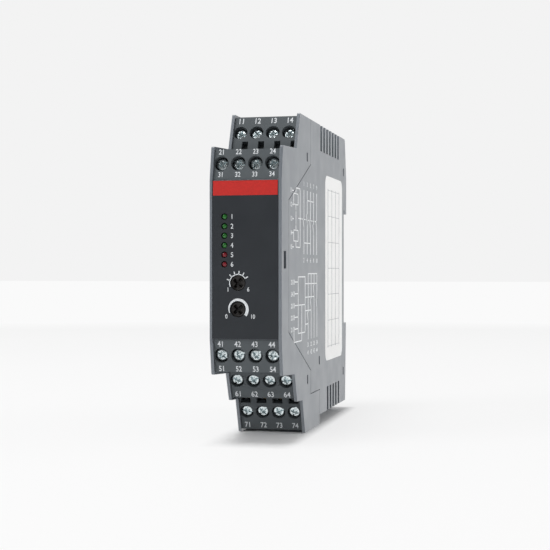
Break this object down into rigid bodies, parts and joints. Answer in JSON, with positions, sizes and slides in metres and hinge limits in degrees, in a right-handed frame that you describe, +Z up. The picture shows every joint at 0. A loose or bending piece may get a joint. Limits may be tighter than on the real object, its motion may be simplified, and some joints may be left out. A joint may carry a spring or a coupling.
{
  "type": "safety relay",
  "caption": "Narrow rail-mounted safety relay with stepped screw-terminal tiers, lamp and adjuster panel, vented housing and sliding rail foot.",
  "frame": {"origin": "middle of the footprint at table level, on the module's centre plane", "axes": "+Z up, +Y from the label face back to the mounting rail, +X to the right seen from the front"},
  "size_m": [0.0226, 0.1146, 0.1034],
  "materials": {
    "housing": "fine matte moulded grey plastic",
    "terminal_block": "matte dark grey moulded plastic",
    "front_plate": "smooth dark inlay with light print",
    "adjuster": "black moulded plastic",
    "lens_green": "tinted clear plastic",
    "lens_red": "tinted clear plastic",
    "zinc": "bright zinc plate",
    "contact": "tinned brass strip",
    "board": "green circuit board",
    "component": "black moulded components",
    "relay_case": "pale relay case",
    "core": "laminated core",
    "can": "drawn can",
    "led": "light source",
    "foot": "black sliding foot",
    "spring": "spring strip"
  },
  "bodies": {
    "relay_body": {"front_hood": "housing", "rear_housing": "housing", "front_plate": "front_plate", "mode_switch": "component", "delay_trimmer": "component", "green_light_pipes": "lens_green", "red_light_pipes": "lens_red", "status_leds": "led", "front_board": "board", "board_connector": "component", "main_board": "board", "logic_board": "board", "force_guided_relay_1": "relay_case", "force_guided_relay_2": "relay_case", "supply_transformer": "core", "supply_capacitor": "can", "microcontrollers": "component", "foot_spring": "spring", "terminal_block_upper_rear": "terminal_block", "clamp_cages_upper_rear": "zinc", "contact_bars_upper_rear": "contact", "terminal_block_upper_front": "terminal_block", "clamp_cages_upper_front": "zinc", "contact_bars_upper_front": "contact", "terminal_block_lower_front": "terminal_block", "clamp_cages_lower_front": "zinc", "contact_bars_lower_front": "contact", "terminal_block_lower_middle": "terminal_block", "clamp_cages_lower_middle": "zinc", "contact_bars_lower_middle": "contact", "terminal_block_lower_rear": "terminal_block", "clamp_cages_lower_rear": "zinc", "contact_bars_lower_rear": "contact"},
    "screw_upper_rear_1": {"screw_upper_rear_1": "zinc"},
    "screw_upper_rear_2": {"screw_upper_rear_2": "zinc"},
    "screw_upper_rear_3": {"screw_upper_rear_3": "zinc"},
    "screw_upper_rear_4": {"screw_upper_rear_4": "zinc"},
    "screw_upper_front_1": {"screw_upper_front_1": "zinc"},
    "screw_upper_front_2": {"screw_upper_front_2": "zinc"},
    "screw_upper_front_3": {"screw_upper_front_3": "zinc"},
    "screw_upper_front_4": {"screw_upper_front_4": "zinc"},
    "screw_lower_front_1": {"screw_lower_front_1": "zinc"},
    "screw_lower_front_2": {"screw_lower_front_2": "zinc"},
    "screw_lower_front_3": {"screw_lower_front_3": "zinc"},
    "screw_lower_front_4": {"screw_lower_front_4": "zinc"},
    "screw_lower_middle_1": {"screw_lower_middle_1": "zinc"},
    "screw_lower_middle_2": {"screw_lower_middle_2": "zinc"},
    "screw_lower_middle_3": {"screw_lower_middle_3": "zinc"},
    "screw_lower_middle_4": {"screw_lower_middle_4": "zinc"},
    "screw_lower_rear_1": {"screw_lower_rear_1": "zinc"},
    "screw_lower_rear_2": {"screw_lower_rear_2": "zinc"},
    "screw_lower_rear_3": {"screw_lower_rear_3": "zinc"},
    "screw_lower_rear_4": {"screw_lower_rear_4": "zinc"},
    "mode_dial": {"mode_dial": "adjuster"},
    "delay_dial": {"delay_dial": "adjuster"},
    "rail_foot": {"rail_foot": "foot"}
  },
  "joints": [
    {"name": "screw_upper_rear_1_turn", "type": "hinge", "parent": "relay_body", "child": "screw_upper_rear_1", "pos_m": [-0.00795, -0.03233, 0.09724], "axis": [0, 0.9178, -0.3971], "range_deg": [0, 1800]},
    {"name": "screw_upper_rear_2_turn", "type": "hinge", "parent": "relay_body", "child": "screw_upper_rear_2", "pos_m": [-0.00265, -0.03233, 0.09724], "axis": [0, 0.9178, -0.3971], "range_deg": [0, 1800]},
    {"name": "screw_upper_rear_3_turn", "type": "hinge", "parent": "relay_body", "child": "screw_upper_rear_3", "pos_m": [0.00265, -0.03233, 0.09724], "axis": [0, 0.9178, -0.3971], "range_deg": [0, 1800]},
    {"name": "screw_upper_rear_4_turn", "type": "hinge", "parent": "relay_body", "child": "screw_upper_rear_4", "pos_m": [0.00795, -0.03233, 0.09724], "axis": [0, 0.9178, -0.3971], "range_deg": [0, 1800]},
    {"name": "screw_upper_front_1_turn", "type": "hinge", "parent": "relay_body", "child": "screw_upper_front_1", "pos_m": [-0.00795, -0.05559, 0.08551], "axis": [0, 0.9829, -0.184], "range_deg": [0, 1800]},
    {"name": "screw_upper_front_2_turn", "type": "hinge", "parent": "relay_body", "child": "screw_upper_front_2", "pos_m": [-0.00265, -0.05559, 0.08551], "axis": [0, 0.9829, -0.184], "range_deg": [0, 1800]},
    {"name": "screw_upper_front_3_turn", "type": "hinge", "parent": "relay_body", "child": "screw_upper_front_3", "pos_m": [0.00265, -0.05559, 0.08551], "axis": [0, 0.9829, -0.184], "range_deg": [0, 1800]},
    {"name": "screw_upper_front_4_turn", "type": "hinge", "parent": "relay_body", "child": "screw_upper_front_4", "pos_m": [0.00795, -0.05559, 0.08551], "axis": [0, 0.9829, -0.184], "range_deg": [0, 1800]},
    {"name": "screw_lower_front_1_turn", "type": "hinge", "parent": "relay_body", "child": "screw_lower_front_1", "pos_m": [-0.00795, -0.05564, 0.02718], "axis": [0, 0.9839, 0.1788], "range_deg": [0, 1800]},
    {"name": "screw_lower_front_2_turn", "type": "hinge", "parent": "relay_body", "child": "screw_lower_front_2", "pos_m": [-0.00265, -0.05564, 0.02718], "axis": [0, 0.9839, 0.1788], "range_deg": [0, 1800]},
    {"name": "screw_lower_front_3_turn", "type": "hinge", "parent": "relay_body", "child": "screw_lower_front_3", "pos_m": [0.00265, -0.05564, 0.02718], "axis": [0, 0.9839, 0.1788], "range_deg": [0, 1800]},
    {"name": "screw_lower_front_4_turn", "type": "hinge", "parent": "relay_body", "child": "screw_lower_front_4", "pos_m": [0.00795, -0.05564, 0.02718], "axis": [0, 0.9839, 0.1788], "range_deg": [0, 1800]},
    {"name": "screw_lower_middle_1_turn", "type": "hinge", "parent": "relay_body", "child": "screw_lower_middle_1", "pos_m": [-0.00795, -0.03681, 0.01796], "axis": [0, 0.9135, 0.4067], "range_deg": [0, 1800]},
    {"name": "screw_lower_middle_2_turn", "type": "hinge", "parent": "relay_body", "child": "screw_lower_middle_2", "pos_m": [-0.00265, -0.03681, 0.01796], "axis": [0, 0.9135, 0.4067], "range_deg": [0, 1800]},
    {"name": "screw_lower_middle_3_turn", "type": "hinge", "parent": "relay_body", "child": "screw_lower_middle_3", "pos_m": [0.00265, -0.03681, 0.01796], "axis": [0, 0.9135, 0.4067], "range_deg": [0, 1800]},
    {"name": "screw_lower_middle_4_turn", "type": "hinge", "parent": "relay_body", "child": "screw_lower_middle_4", "pos_m": [0.00795, -0.03681, 0.01796], "axis": [0, 0.9135, 0.4067], "range_deg": [0, 1800]},
    {"name": "screw_lower_rear_1_turn", "type": "hinge", "parent": "relay_body", "child": "screw_lower_rear_1", "pos_m": [-0.00795, -0.02404, 0.00675], "axis": [0, 0.9317, 0.3633], "range_deg": [0, 1800]},
    {"name": "screw_lower_rear_2_turn", "type": "hinge", "parent": "relay_body", "child": "screw_lower_rear_2", "pos_m": [-0.00265, -0.02404, 0.00675], "axis": [0, 0.9317, 0.3633], "range_deg": [0, 1800]},
    {"name": "screw_lower_rear_3_turn", "type": "hinge", "parent": "relay_body", "child": "screw_lower_rear_3", "pos_m": [0.00265, -0.02404, 0.00675], "axis": [0, 0.9317, 0.3633], "range_deg": [0, 1800]},
    {"name": "screw_lower_rear_4_turn", "type": "hinge", "parent": "relay_body", "child": "screw_lower_rear_4", "pos_m": [0.00795, -0.02404, 0.00675], "axis": [0, 0.9317, 0.3633], "range_deg": [0, 1800]},
    {"name": "mode_dial_turn", "type": "hinge", "parent": "relay_body", "child": "mode_dial", "pos_m": [-0.00235, -0.05695, 0.04925], "axis": [0, 1, 0], "range_deg": [-135, 135]},
    {"name": "delay_dial_turn", "type": "hinge", "parent": "relay_body", "child": "delay_dial", "pos_m": [-0.00235, -0.05695, 0.04125], "axis": [0, 1, 0], "range_deg": [-140, 140]},
    {"name": "rail_foot_slide", "type": "slide", "parent": "relay_body", "child": "rail_foot", "axis": [0, 0, -1], "range_m": [0, 0.003], "stiffness_N_per_m": 1500, "springref_m": -0.003, "deforming": ["foot_spring"]}
  ]
}
